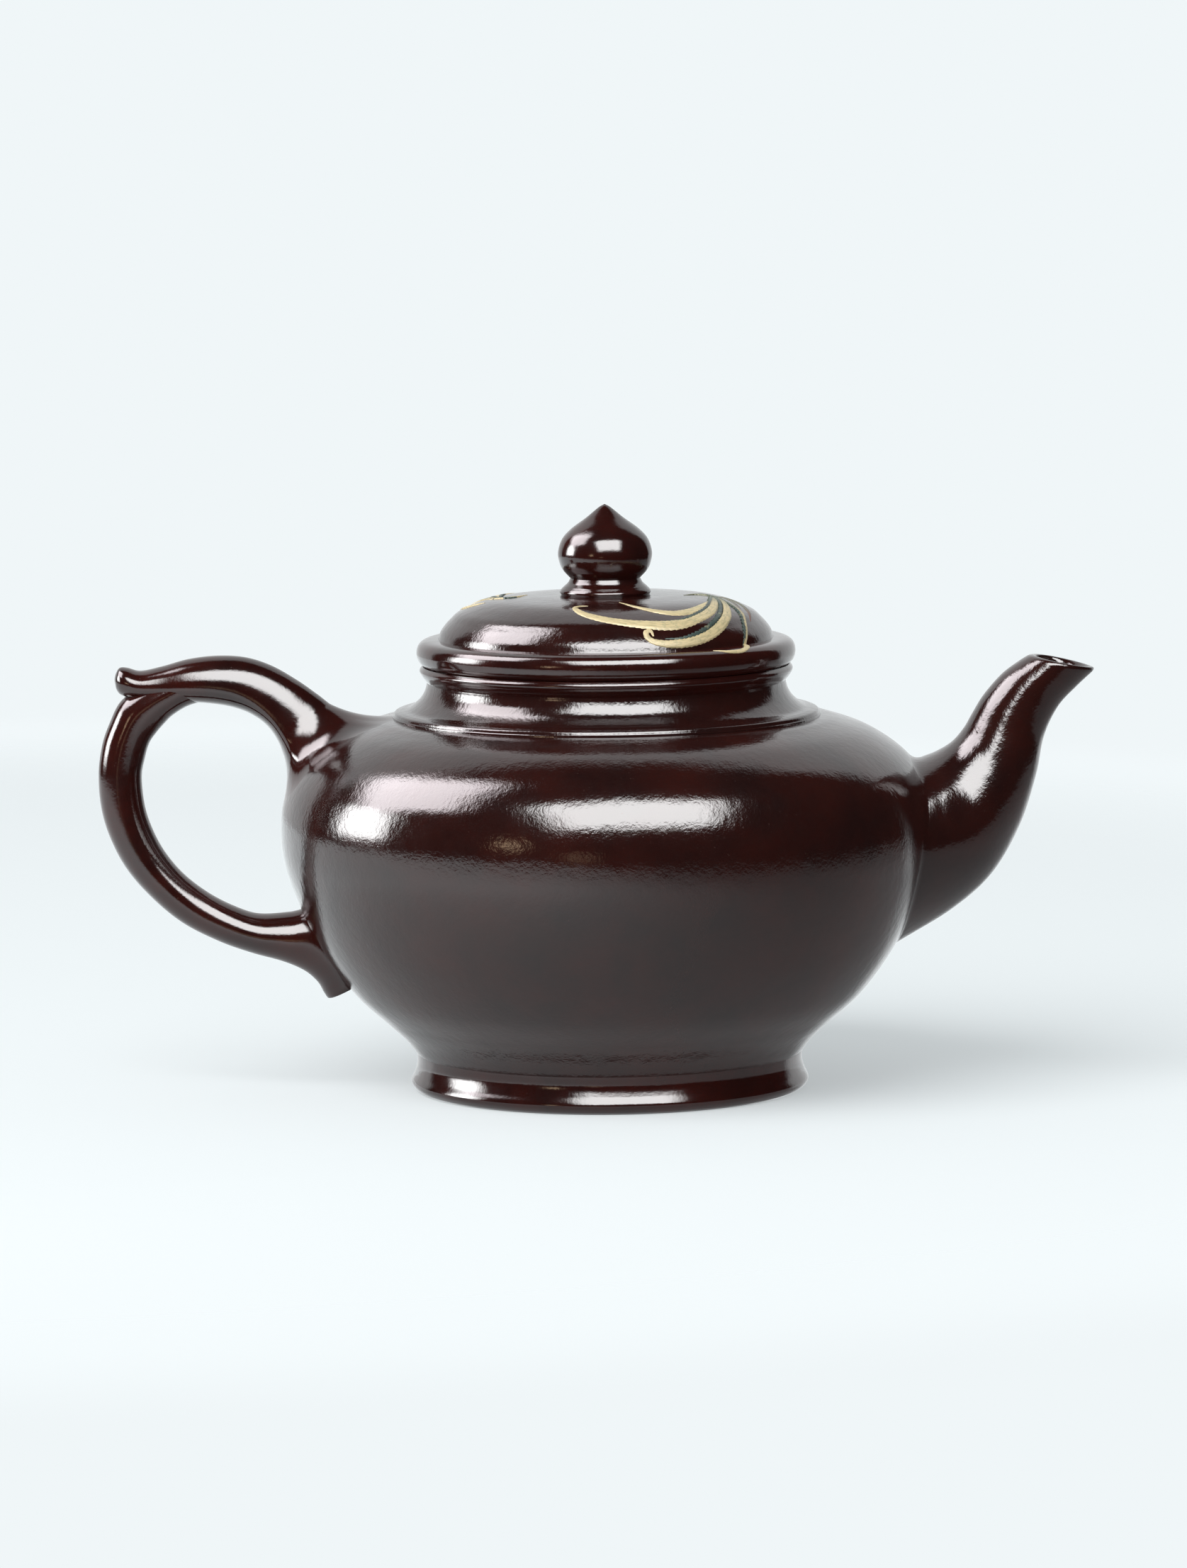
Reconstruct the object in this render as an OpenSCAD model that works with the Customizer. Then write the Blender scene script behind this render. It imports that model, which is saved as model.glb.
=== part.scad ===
// Small round-bodied clay teapot, built as a potter builds it: separate pieces of clay
// made on their own and then luted together, with a loose lid.
// Millimetres, +Z up, origin at the middle of the foot, on the table.
// The spout points along +X and the handle along -X.

/* [Bowl] */
// Greatest diameter of the bowl
bowl_d = 105; // [100:1:110]
// Height of the greatest diameter
belly_z = 41.5; // [38:0.5:45]
// Thickness of the bowl's wall
wall = 3; // [2.5:0.1:3.5]
// Height of the ridge line round the shoulder
ridge_z = 60.2; // [58:0.1:62]
// Diameter of the ridge line round the shoulder
ridge_d = 68.8; // [67:0.2:70]

/* [Foot] */
// Diameter of the foot's lip
foot_d = 64; // [62:0.5:66]
// Height of the foot, up to its joint with the bowl
foot_h = 6; // [5.5:0.1:7]
// Diameter of the recess under the foot
foot_recess_d = 54; // [50:1:55]

/* [Mouth] */
// Diameter of the mouth's clear opening
mouth_d = 51.6; // [50:0.2:52]
// Smallest outside diameter of the neck
neck_d = 57.8; // [57:0.1:59]
// Height of the neck's upper end, where the rim starts
neck_z = 65.9; // [65:0.1:66.5]
// Diameter of the rim
rim_d = 59.8; // [59:0.1:61]
// Height of the rim's flat top, where the lid sits
rim_z = 68.5; // [68:0.1:69]

/* [Lid] */
// Diameter of the lid's flange
flange_d = 60.8; // [60:0.1:62]
// Height of the lid's flange
flange_h = 4.2; // [3.8:0.1:4.6]
// Height of the dome above the flange
dome_h = 6.9; // [6.5:0.1:7.5]
// Thickness of the dome
dome_wall = 2.8; // [2.4:0.1:3.2]
// Radial clearance of the lid's skirt in the mouth
skirt_gap = 0.4; // [0.3:0.05:0.6]
// Depth of the skirt inside the mouth
skirt_depth = 7; // [5:0.5:8]
// Thickness of the skirt
skirt_wall = 2.8; // [2:0.1:3.2]
// Diameter of the vent hole
vent_d = 2.2; // [1.5:0.1:3]
// Distance of the vent hole from the middle of the lid
vent_r = 13; // [11:0.5:15]
// Height of the slip painting above the clay
slip_h = 0.35; // [0.25:0.05:0.5]

/* [Knob] */
// Greatest diameter of the knob
knob_d = 15.1; // [14:0.1:17]
// Height of the knob with its pointed tip, above its collar
knob_h = 11.8; // [11:0.1:14]
// Diameter of the knob's collar
collar_d = 14.6; // [14:0.1:16]
// Height of the knob's collar
collar_h = 2.7; // [2.3:0.1:3]

/* [Spout] */
// How far the spout's tip stands out from the bowl
spout_reach = 26; // [23:0.5:29]
// Diameter of the bore in the bowl that the strainer fills
strainer_d = 19; // [17:0.5:20]
// Height of that bore
strainer_z = 39; // [37:0.5:41]
// Diameter of one strainer hole
hole_d = 2.4; // [1.8:0.1:2.6]

/* [Handle] */
// How far the handle stands out from the bowl
handle_reach = 29; // [27:0.5:32]

/* [Hidden] */
$fn = 96;

clay = [0.20, 0.09, 0.08];
inner_clay = [0.30, 0.15, 0.12];
cream_slip = [0.80, 0.72, 0.50];
green_slip = [0.20, 0.32, 0.28];
russet_slip = [0.45, 0.18, 0.12];

// Steps of a smooth curve between two of its control points
steps = 3;
bowl_r = bowl_d / 2;
foot_r = foot_d / 2;
recess_r = foot_recess_d / 2;
ridge_r = ridge_d / 2;
mouth_r = mouth_d / 2;
neck_r = neck_d / 2;
rim_r = rim_d / 2;
flange_r = flange_d / 2;
knob_r = knob_d / 2;
collar_r = collar_d / 2;
strainer_r = strainer_d / 2;

// Bottom disc: it stands on a step in the foot ring and plugs the bowl's lower end
disc_r = recess_r + 1;
disc_z = foot_h - 1;
disc_t = 3;
// Radius of the joint between foot and bowl
joint_r = foot_r - 1;
// Shoulder disc: it closes the bowl's top round the mouth
shoulder_t = 3;
// Height of the disc's edge above the ridge line, and its chamfer
ledge_h = 0.4;
ledge_chamfer = 0.1;
// Lid: a hair's breadth above the rim
seat_gap = 0.1;
flange_z = rim_z + seat_gap;
dome_z = flange_z + flange_h;
dome_r = flange_r - 3.5;
collar_z = dome_z + dome_h;
knob_z = collar_z + collar_h;
skirt_r = mouth_r - skirt_gap;
strainer_wall = 2;
// Flat outer end of the strainer, inside the thickness of the bowl's wall
strainer_x = bowl_r - 2;

// ---- Curves -------------------------------------------------------------------------

// Control point i, with one more made up past each end of the list
function knot(p, i) =
    i < 0 ? 2 * p[0] - p[1] :
    i >= len(p) ? 2 * p[len(p) - 1] - p[len(p) - 2] : p[i];

// Point at t between b and c on the smooth curve through a, b, c and d
function between(a, b, c, d, t) =
    b + (c - a) * t / 2 + (2 * a - 5 * b + 4 * c - d) * t * t / 2
    + (3 * b - a - 3 * c + d) * t * t * t / 2;

// Smooth curve through every control point
function curve(p, n = steps) = [
    for (i = [0:len(p) - 2], k = [0:n - 1])
        between(knot(p, i - 1), p[i], p[i + 1], knot(p, i + 2), k / n),
    p[len(p) - 1],
];

// The same path moved by t to its left
function beside(p, t) = [
    for (i = [0:len(p) - 1])
        let (d = p[min(i + 1, len(p) - 1)] - p[max(i - 1, 0)])
        p[i] + t * [-d[1], d[0]] / norm(d)
];

// ---- Outlines of the turned pieces --------------------------------------------------

// The bowl's flanks run from joint to belly and from belly to ridge, in fractions of each span
lower_flank = [[0, 0], [0.07, 0.07], [0.21, 0.16], [0.44, 0.29], [0.68, 0.48], [0.865, 0.68], [0.97, 0.86]];
upper_flank = [[1, 0], [0.985, 0.24], [0.9, 0.48], [0.72, 0.69], [0.44, 0.87], [0.15, 0.97], [0, 1]];
bowl_outline = curve(concat(
    [for (f = lower_flank) [joint_r + f[0] * (bowl_r - joint_r), foot_h + f[1] * (belly_z - foot_h)]],
    [for (f = upper_flank) [ridge_r + f[0] * (bowl_r - ridge_r), belly_z + f[1] * (ridge_z - belly_z)]]
));
// Inside of the bowl, without the stretch that the bottom disc covers
bowl_inside = [for (p = beside(bowl_outline, wall)) if (p[1] > disc_z + disc_t + 1) p];

foot_outline = curve([
    [foot_r - 1.6, 0], [foot_r - 0.6, 0.5], [foot_r, 1.5], [foot_r - 0.6, 3],
    [foot_r - 1, 4.4], [joint_r, foot_h],
]);
neck_outline = curve([
    [ridge_r - 0.2, ridge_z + ledge_h], [neck_r + 3.1, ridge_z + 1.5],
    [neck_r + 0.9, ridge_z + 2.9], [neck_r + 0.1, ridge_z + 4.4], [neck_r - 0.1, neck_z],
]);
rim_outline = curve([
    [neck_r - 0.1, neck_z], [rim_r - 0.6, neck_z + 0.6], [rim_r - 0.1, neck_z + 1.4],
    [rim_r, neck_z + 2], [rim_r - 0.4, rim_z],
]);
flange_outline = curve([
    [flange_r - 1, flange_z], [flange_r - 0.3, flange_z + 0.7], [flange_r, flange_z + 1.9],
    [flange_r - 0.2, flange_z + 3], [flange_r - 0.8, dome_z - 0.5], [flange_r - 1.8, dome_z - 0.15],
    [dome_r, dome_z],
]);
dome_outline = curve([
    [dome_r, dome_z], [0.98 * dome_r, dome_z + 0.2 * dome_h], [0.93 * dome_r, dome_z + 0.435 * dome_h],
    [0.86 * dome_r, dome_z + 0.65 * dome_h], [0.69 * dome_r, dome_z + 0.89 * dome_h],
    [0.46 * dome_r, dome_z + 0.98 * dome_h], [collar_r - 0.2, collar_z],
]);
dome_closing = [[0, collar_z], [0, dome_z - 1]];
collar_outline = curve([
    [collar_r - 0.2, collar_z], [collar_r, collar_z + 0.22 * collar_h],
    [collar_r - 0.6, collar_z + 0.48 * collar_h], [collar_r - 1.3, collar_z + 0.72 * collar_h],
    [collar_r - 1.7, knob_z],
]);
knob_outline = curve([
    [knob_r - 1.9, knob_z], [knob_r - 0.8, knob_z + 0.1 * knob_h], [knob_r - 0.25, knob_z + 0.2 * knob_h],
    [knob_r, knob_z + 0.35 * knob_h], [0.91 * knob_r, knob_z + 0.53 * knob_h],
    [0.71 * knob_r, knob_z + 0.67 * knob_h], [0.4 * knob_r, knob_z + 0.815 * knob_h],
    [0.13 * knob_r, knob_z + 0.955 * knob_h], [0, knob_z + knob_h],
]);

// Solid under an outline that ends on the axis or is closed by the points given
module turned(outline, closing) {
    rotate_extrude() polygon(concat(outline, closing));
}

// Everything inside the bowl's outer surface
module bowl_solid() {
    turned(bowl_outline, [[0, ridge_z], [0, foot_h]]);
}

// ---- Swept clay: spout and handle ---------------------------------------------------

// A station is one cross-section: its two edge points in the XZ plane, its half width along Y,
// how far from the first edge it is widest (0 to 1), and how keeled its second half is.
// Ring of n points round one station
function ring(s, n) = [
    for (i = [0:n - 1])
        let (
            c = cos(360 * i / n), w = sin(360 * i / n),
            first = [s[0], s[1]], second = [s[2], s[3]],
            widest = first + s[5] * (second - first),
            p = widest + abs(c) * ((c > 0 ? first : second) - widest),
            y = s[4] * sign(w) * pow(abs(w), c < 0 ? 1 + s[6] : 1)
        )
        [p[0], y, p[1]]
];

// Solid swept through a list of stations
module swept(stations, n) {
    m = len(stations);
    points = [for (s = stations) each ring(s, n)];
    walls = [
        for (j = [0:m - 2], i = [0:n - 1])
            let (k = (i + 1) % n)
            [j * n + i, (j + 1) * n + i, (j + 1) * n + k, j * n + k]
    ];
    near_end = [for (i = [0:n - 1]) i];
    far_end = [for (i = [n - 1:-1:0]) (m - 1) * n + i];
    polyhedron(points, concat(walls, [near_end, far_end]));
}

// The station moved inwards by t all round
function narrowed(s, t) =
    let (first = [s[0], s[1]], second = [s[2], s[3]], u = (second - first) / norm(second - first))
    [s[0] + t * u[0], s[1] + t * u[1], s[2] - t * u[0], s[3] - t * u[1], s[4] - t, s[5], s[6]];

// Spout stations, mouth first: distance out from the bowl's radius and height of the upper edge,
// the same of the lower edge, half width, place of the widest point, keel, thickness of the clay
spout_plan = [
    [15.7, 69.3, 26.0, 67.4, 5.1, 0.42, 0.3, 1.2],
    [13.7, 68.3, 23.2, 64.6, 5.4, 0.46, 0.1, 1.5],
    [10.9, 66.2, 20.0, 61.0, 5.7, 0.50, 0, 1.8],
    [8.0, 62.9, 17.7, 56.2, 6.3, 0.50, 0, 2.0],
    [6.2, 60.0, 16.4, 50.0, 7.5, 0.50, 0, 2.2],
    [4.8, 57.6, 13.8, 42.0, 9.2, 0.48, 0.1, 2.3],
    [2.9, 55.4, 9.3, 34.2, 12.0, 0.45, 0.2, 2.4],
    [0.3, 54.2, 3.0, 28.5, 15.4, 0.42, 0.4, 2.6],
    [-2.6, 53.4, -5.6, 23.3, 18.2, 0.40, 0.5, 2.8],
    [-8.0, 50.0, -11.5, 19.8, 18.8, 0.40, 0.5, 2.8],
];
spout_stretch = spout_reach / 26;
spout_stations = [
    for (s = curve(spout_plan))
        [bowl_r + s[0] * spout_stretch, s[1], bowl_r + s[2] * spout_stretch, s[3], s[4], s[5], s[6], s[7]]
];
spout_mouth = spout_stations[0];
// The channel runs on past the mouth so that it opens it cleanly
past_mouth = narrowed(spout_mouth, spout_mouth[7]) + [0.3, 1.5, 0.3, 1.5, 0, 0, 0];

// Handle stations: distance out from the bowl's radius and height of the outer edge, the same of
// the inner edge, half width
// The upper roll starts in the shoulder, goes over the top and ends in the thumb rest
upper_plan = [
    [-19.5, 54.7, -7.5, 46.5, 6.8],
    [-14.5, 59.2, -2.6, 49.9, 6.4],
    [-9.4, 61.6, -0.9, 53.3, 5.5],
    [-6.2, 64.0, 0.2, 56.4, 4.8],
    [-3.0, 66.3, 2.0, 59.1, 4.4],
    [1.1, 68.7, 4.6, 61.0, 4.2],
    [5.3, 70.1, 7.5, 62.1, 4.1],
    [9.9, 70.4, 10.9, 62.6, 4.1],
    [14.5, 69.9, 14.8, 62.9, 4.0],
    [18.6, 68.8, 19.0, 63.0, 3.8],
    [22.1, 68.0, 22.6, 63.4, 3.5],
    [24.6, 68.5, 25.2, 64.1, 2.9],
    [25.7, 68.5, 26.2, 65.1, 2.0],
    [26.1, 67.6, 26.3, 66.3, 0.8],
];
// The lower roll starts under the thumb rest, comes round and lies down along the bowl as a tail
lower_plan = [
    [22.6, 66.2, 16.2, 61.9, 3.7],
    [25.2, 63.9, 18.6, 59.8, 3.9],
    [26.8, 60.9, 20.2, 57.5, 3.9],
    [28.5, 56.3, 21.5, 54.5, 3.9],
    [29.2, 51.3, 22.2, 51.0, 3.9],
    [28.8, 45.7, 21.8, 46.4, 3.9],
    [27.3, 40.7, 20.6, 42.5, 3.9],
    [24.7, 35.8, 18.6, 38.7, 3.9],
    [20.7, 31.2, 15.7, 35.2, 3.9],
    [15.9, 27.2, 11.9, 32.2, 3.9],
    [10.1, 24.2, 7.8, 30.0, 4.0],
    [4.9, 22.3, 3.8, 28.7, 4.2],
    [0, 20.9, -1.2, 28.9, 4.5],
    [-3.4, 19.4, -6.4, 29.6, 4.6],
    [-5.5, 17.6, -10.0, 25.5, 4.5],
    [-6.9, 16.1, -12.5, 20.4, 4.3],
    [-8.0, 15.2, -13.5, 17.8, 4.2],
];
handle_stretch = handle_reach / 29;
handle_steps = 2;
function handle_stations(plan) = [
    for (s = curve(plan, handle_steps))
        [-bowl_r - s[0] * handle_stretch, s[1], -bowl_r - s[2] * handle_stretch, s[3], s[4], 0.5, 0]
];

module upper_roll() {
    swept(handle_stations(upper_plan), 16);
}

module lower_roll() {
    swept(handle_stations(lower_plan), 16);
}

// ---- Slip painting on the lid -------------------------------------------------------

// One brush stroke seen from above: [x, y, half width] along its middle
module stroke(plan) {
    middle = curve(plan, 2);
    path = [for (p = middle) [p[0], p[1]]];
    last = len(middle) - 1;
    left = [for (i = [0:last]) beside(path, middle[i][2])[i]];
    right = [for (i = [last:-1:0]) beside(path, -middle[i][2])[i]];
    polygon(concat(left, right));
}

// Both sprays of plumes: the second is the first turned half round the lid
module strokes(plans) {
    for (turn = [0, 180], plan = plans) rotate(turn) stroke(plan);
}

// Thin raised layer of slip on the dome, under the shape drawn by the children
module painted() {
    intersection() {
        difference() {
            translate([0, 0, slip_h]) turned(dome_outline, dome_closing);
            turned(dome_outline, dome_closing);
        }
        translate([0, 0, dome_z]) linear_extrude(dome_h + 1) children();
    }
}

cream_plans = [
    [[2, -13, 0.2], [5, -17, 0.5], [8.3, -18.2, 0.7], [12, -17, 0.7], [14.6, -13.8, 0.6], [16.9, -7, 0.3]],
    [[-4.5, -18.4, 0.2], [-1, -21.6, 0.6], [3.5, -22.8, 0.9], [8, -22.4, 1], [12, -20.4, 1],
        [15.4, -15.8, 0.9], [17.4, -8, 0.4]],
    [[9.6, -23.4, 0.4], [13, -22, 0.9], [15.8, -19.8, 1], [18, -16.4, 0.9], [19.2, -12, 0.7],
        [19.2, -7, 0.3]],
    [[21.2, -13.4, 0.3], [21.4, -10, 0.5], [20.6, -7, 0.5], [19, -4, 0.3]],
];
green_plans = [
    [[13, -16.4, 0.2], [15.4, -13.2, 0.4], [17, -8, 0.3], [17.2, -3, 0.2]],
    [[19, -17.4, 0.2], [20.2, -12, 0.4], [19.8, -6, 0.3], [18, -2, 0.2]],
];
russet_plans = [
    [[13.5, 1.6, 0.2], [17, 1.6, 0.4], [20, 0, 0.4], [22, -4, 0.2]],
    [[13, 4, 0.2], [16.5, 4.2, 0.4], [20, 2.6, 0.3]],
];

// ---- Pieces of the pot --------------------------------------------------------------

// Foot ring: waisted outside, a step inside carries the bottom disc
module foot_ring() {
    color(clay) turned(foot_outline, [
        [disc_r, foot_h], [disc_r, disc_z], [recess_r, disc_z], [recess_r, 0],
    ]);
}

// Disc that closes the bowl's lower end
module bottom_disc() {
    color(inner_clay) translate([0, 0, disc_z]) cylinder(r = disc_r, h = disc_t);
}

// Wall of the bowl, open above and below, bored for the strainer
module bowl_wall() {
    inside = [for (i = [len(bowl_inside) - 1:-1:0]) if (bowl_inside[i][0] > ridge_r) bowl_inside[i]];
    color(clay) difference() {
        turned(bowl_outline, concat(
            [[ridge_r, ridge_z - shoulder_t]], inside,
            [[disc_r, disc_z + disc_t], [disc_r, foot_h]]
        ));
        translate([0, 0, strainer_z]) rotate([0, 90, 0]) cylinder(r = strainer_r, h = bowl_r + 1);
    }
}

// Disc that closes the bowl's top round the mouth; its edge is the ridge line
module shoulder_disc() {
    ledge_z = ridge_z + ledge_h;
    color(clay) turned([
        [mouth_r, ridge_z - shoulder_t], [ridge_r, ridge_z - shoulder_t],
        [ridge_r, ledge_z - ledge_chamfer], [ridge_r - ledge_chamfer, ledge_z], [mouth_r, ledge_z],
    ], []);
}

module neck() {
    color(clay) turned(neck_outline, [[mouth_r, neck_z], [mouth_r, ridge_z + ledge_h]]);
}

module mouth_rim() {
    color(clay) turned(rim_outline, [[mouth_r, rim_z], [mouth_r, neck_z]]);
}

module spout() {
    color(clay) difference() {
        swept(spout_stations, 20);
        swept(concat([past_mouth], [for (s = spout_stations) narrowed(s, s[7])]), 16);
        bowl_solid();
    }
}

// Thimble of clay with pouring holes, set in the bore behind the spout
module strainer() {
    ring_one = 3;
    ring_two = 6;
    cup_r = strainer_r - strainer_wall;
    centre_x = bowl_r - 4.5;
    color(inner_clay) translate([centre_x, 0, strainer_z]) rotate([0, 90, 0]) difference() {
        union() {
            intersection() {
                sphere(r = strainer_r);
                translate([0, 0, -strainer_r]) cylinder(r = strainer_r + 1, h = strainer_r);
            }
            cylinder(r = strainer_r, h = strainer_x - centre_x);
        }
        sphere(r = cup_r);
        cylinder(r = cup_r, h = strainer_r);
        translate([0, 0, -strainer_r - 1]) strainer_hole();
        for (i = [0:5]) rotate([0, 0, 60 * i])
            translate([ring_one, 0, -strainer_r - 1]) strainer_hole();
        for (i = [0:9]) rotate([0, 0, 36 * i])
            translate([ring_two, 0, -strainer_r - 1]) strainer_hole();
    }
}

module strainer_hole() {
    cylinder(d = hole_d, h = strainer_r + 1, $fn = 24);
}

module handle_upper() {
    color(clay) difference() {
        upper_roll();
        bowl_solid();
    }
}

module handle_lower() {
    color(clay) difference() {
        lower_roll();
        upper_roll();
        bowl_solid();
    }
}

// ---- Pieces of the lid --------------------------------------------------------------

// Ring that drops into the mouth and keeps the lid in its place
module lid_skirt() {
    color(inner_clay) translate([0, 0, flange_z - skirt_depth]) difference() {
        cylinder(r = skirt_r, h = skirt_depth);
        translate([0, 0, -1]) cylinder(r = skirt_r - skirt_wall, h = skirt_depth + 2);
    }
}

module lid_flange() {
    hole_r = skirt_r - skirt_wall;
    color(clay) turned(flange_outline, [[hole_r, dome_z], [hole_r, flange_z]]);
}

// Domed top of the lid, hollow underneath, with its vent hole at the back
module lid_dome() {
    inside = [
        for (p = beside(dome_outline, dome_wall)) if (p[1] > dome_z && p[0] > collar_r) p
    ];
    top_inside = collar_z - dome_wall;
    color(clay) difference() {
        turned(dome_outline, concat(
            [[0, collar_z], [0, top_inside]],
            [for (i = [len(inside) - 1:-1:0]) inside[i]],
            [[inside[0][0], dome_z]]
        ));
        translate([0, vent_r, dome_z]) cylinder(d = vent_d, h = dome_h + 2);
    }
}

module knob_collar() {
    color(clay) turned(collar_outline, [[0, knob_z], [0, collar_z]]);
}

// Bud-shaped knob with a pointed tip
module knob() {
    color(clay) turned(knob_outline, [[0, knob_z]]);
}

// The painting's colours lie side by side: each fills what the ones before it leave free
module plumes_cream() {
    color(cream_slip) painted() strokes(cream_plans);
}

module plumes_green() {
    color(green_slip) painted() difference() {
        strokes(green_plans);
        strokes(cream_plans);
    }
}

module plumes_russet() {
    color(russet_slip) painted() difference() {
        strokes(russet_plans);
        strokes(cream_plans);
        strokes(green_plans);
    }
}

foot_ring();
bottom_disc();
bowl_wall();
shoulder_disc();
neck();
mouth_rim();
spout();
strainer();
handle_upper();
handle_lower();
lid_skirt();
lid_flange();
lid_dome();
knob_collar();
knob();
plumes_cream();
plumes_green();
plumes_russet();
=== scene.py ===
"""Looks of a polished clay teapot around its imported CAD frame.

Shapes are written in millimetres in the frame's own axes (+X spout, -X handle, +Z up)
and turned into metres when a mesh is made.
"""
import math

import bmesh
import bpy
import numpy as np
from mathutils import Matrix, Vector


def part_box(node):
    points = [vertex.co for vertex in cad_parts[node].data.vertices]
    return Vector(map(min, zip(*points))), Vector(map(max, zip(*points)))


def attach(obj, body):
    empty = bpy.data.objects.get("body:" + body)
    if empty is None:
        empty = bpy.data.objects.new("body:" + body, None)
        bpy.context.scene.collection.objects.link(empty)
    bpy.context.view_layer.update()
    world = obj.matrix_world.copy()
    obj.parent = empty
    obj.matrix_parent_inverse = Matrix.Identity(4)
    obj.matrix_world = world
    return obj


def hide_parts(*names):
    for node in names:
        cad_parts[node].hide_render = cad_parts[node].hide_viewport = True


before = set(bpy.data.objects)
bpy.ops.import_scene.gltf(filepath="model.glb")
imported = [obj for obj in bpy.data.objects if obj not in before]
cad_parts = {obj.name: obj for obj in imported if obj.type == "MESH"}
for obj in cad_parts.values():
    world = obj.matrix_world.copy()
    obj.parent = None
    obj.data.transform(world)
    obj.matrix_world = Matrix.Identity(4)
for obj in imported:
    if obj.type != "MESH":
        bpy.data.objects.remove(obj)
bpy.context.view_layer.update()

MM = 0.001
SEGMENTS = 216          # round the turned pieces
SPAN = 14               # mesh rows between two control points of a curve
SHARP = math.radians(32)
INNER = 0.5             # faces this far under an outer skin belong to the inside


# ---- Sizes, read from the frame where it has them -----------------------------------

def low(node, axis=2):
    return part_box(node)[0][axis] / MM


def high(node, axis=2):
    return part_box(node)[1][axis] / MM


def radius(node):
    return (high(node, 1) - low(node, 1)) / 2


bowl_r = radius("bowl_wall")
foot_r = radius("foot_ring")
foot_h = high("foot_ring")
joint_r = foot_r - 1
disc_top = high("bottom_disc")
disc_r = radius("bottom_disc")
belly_z = 41.5
ridge_r = radius("shoulder_disc")
ridge_z = high("bowl_wall")
ledge_z = high("shoulder_disc")
shoulder_low = low("shoulder_disc")
neck_z = high("neck")
neck_r = 28.9
rim_r = radius("mouth_rim")
rim_z = high("mouth_rim")
mouth_r = 25.8
wall = 3.0
flange_r = radius("lid_flange")
flange_z = low("lid_flange")
dome_r = radius("lid_dome")
dome_z = low("lid_dome")
dome_top = high("lid_dome")
dome_h = dome_top - dome_z
dome_wall = 2.8
skirt_r = radius("lid_skirt")
skirt_low = low("lid_skirt")
skirt_in = skirt_r - 2.8
collar_r = radius("knob_collar")
knob_z = low("knob")
knob_r = radius("knob")
knob_h = high("knob") - knob_z
slip_h = 0.18


# ---- Curves and surfaces ------------------------------------------------------------

def curve(points, rows=SPAN):
    """Smooth curve through every control point, with short steps at both ends."""
    p = np.array(points, float)
    p = np.vstack([2 * p[0] - p[1], p, 2 * p[-1] - p[-2]])
    out = []
    last = len(p) - 4
    for i in range(last + 1):
        a, b, c, d = p[i:i + 4]
        steps = list(np.linspace(0, 1, rows, endpoint=False))
        if i == 0:
            steps.insert(1, 0.04 / rows)
        if i == last:
            steps += [1 - 0.04 / rows, 1.0]
        for t in steps:
            out.append(b + (c - a) * t / 2 + (2 * a - 5 * b + 4 * c - d) * t * t / 2
                       + (3 * b - a - 3 * c + d) * t ** 3 / 2)
    return np.array(out)


def beside(path, distance):
    """The path moved sideways, to its left."""
    step = np.gradient(path, axis=0)
    step /= np.linalg.norm(step, axis=1)[:, None]
    return path + distance * np.column_stack([-step[:, 1], step[:, 0]])


# Shares of the way outwards and upwards: foot to belly, then ridge to belly
lower_flank = [
    (0, 0), (0.09, 0.07), (0.24, 0.155), (0.47, 0.285), (0.695, 0.475), (0.865, 0.68), (0.97, 0.86)]
upper_flank = [(1, 0), (0.985, 0.24), (0.9, 0.48), (0.72, 0.69), (0.44, 0.87), (0.15, 0.97), (0, 1)]
bowl_outline = curve(
    [(joint_r + u * (bowl_r - joint_r), foot_h + v * (belly_z - foot_h)) for u, v in lower_flank]
    + [(ridge_r + u * (bowl_r - ridge_r), belly_z + v * (ridge_z - belly_z)) for u, v in upper_flank])
flange_outline = curve([
    (flange_r - 1, flange_z), (flange_r - 0.3, flange_z + 0.7), (flange_r, flange_z + 1.9),
    (flange_r - 0.2, flange_z + 3), (flange_r - 0.8, dome_z - 0.5), (flange_r - 1.8, dome_z - 0.15),
    (dome_r, dome_z)])
dome_outline = curve([
    (dome_r, dome_z), (0.98 * dome_r, dome_z + 0.2 * dome_h), (0.93 * dome_r, dome_z + 0.435 * dome_h),
    (0.86 * dome_r, dome_z + 0.65 * dome_h), (0.69 * dome_r, dome_z + 0.89 * dome_h),
    (0.46 * dome_r, dome_z + 0.98 * dome_h), (collar_r - 0.2, dome_top)])


def onto_bowl(p):
    """Nearest points on the bowl's outside to the points p, the outward normals and the distances."""
    p = np.asarray(p, float)
    rho = np.hypot(p[..., 0], p[..., 1])
    flat = np.stack([rho, p[..., 2]], -1).reshape(-1, 2)
    step = np.gradient(bowl_outline, axis=0)
    step /= np.linalg.norm(step, axis=1)[:, None]
    normal = np.column_stack([step[:, 1], -step[:, 0]])
    nearest = np.argmin(((flat[:, None, :] - bowl_outline[None]) ** 2).sum(-1), axis=1)
    n = normal[nearest]
    away = ((flat - bowl_outline[nearest]) * n).sum(-1)
    foot = flat - away[:, None] * n
    around = np.stack([p[..., 0], p[..., 1]], -1).reshape(-1, 2) / rho.reshape(-1, 1)
    point = np.column_stack([around * foot[:, :1], foot[:, 1]])
    out = np.column_stack([around * n[:, :1], n[:, 1]])
    return point.reshape(p.shape), out.reshape(p.shape), away.reshape(rho.shape)


def kept_in_wall(p, depth=2.0):
    """Points deeper than depth under the bowl's surface come up to it, so that none shows inside."""
    point, normal, away = onto_bowl(p)
    deep = (away < -depth)[..., None]
    return np.where(deep, point - depth * normal, p)


def dome_height(rho):
    return np.interp(rho, dome_outline[::-1, 0], dome_outline[::-1, 1])


# ---- Mesh making --------------------------------------------------------------------

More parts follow.
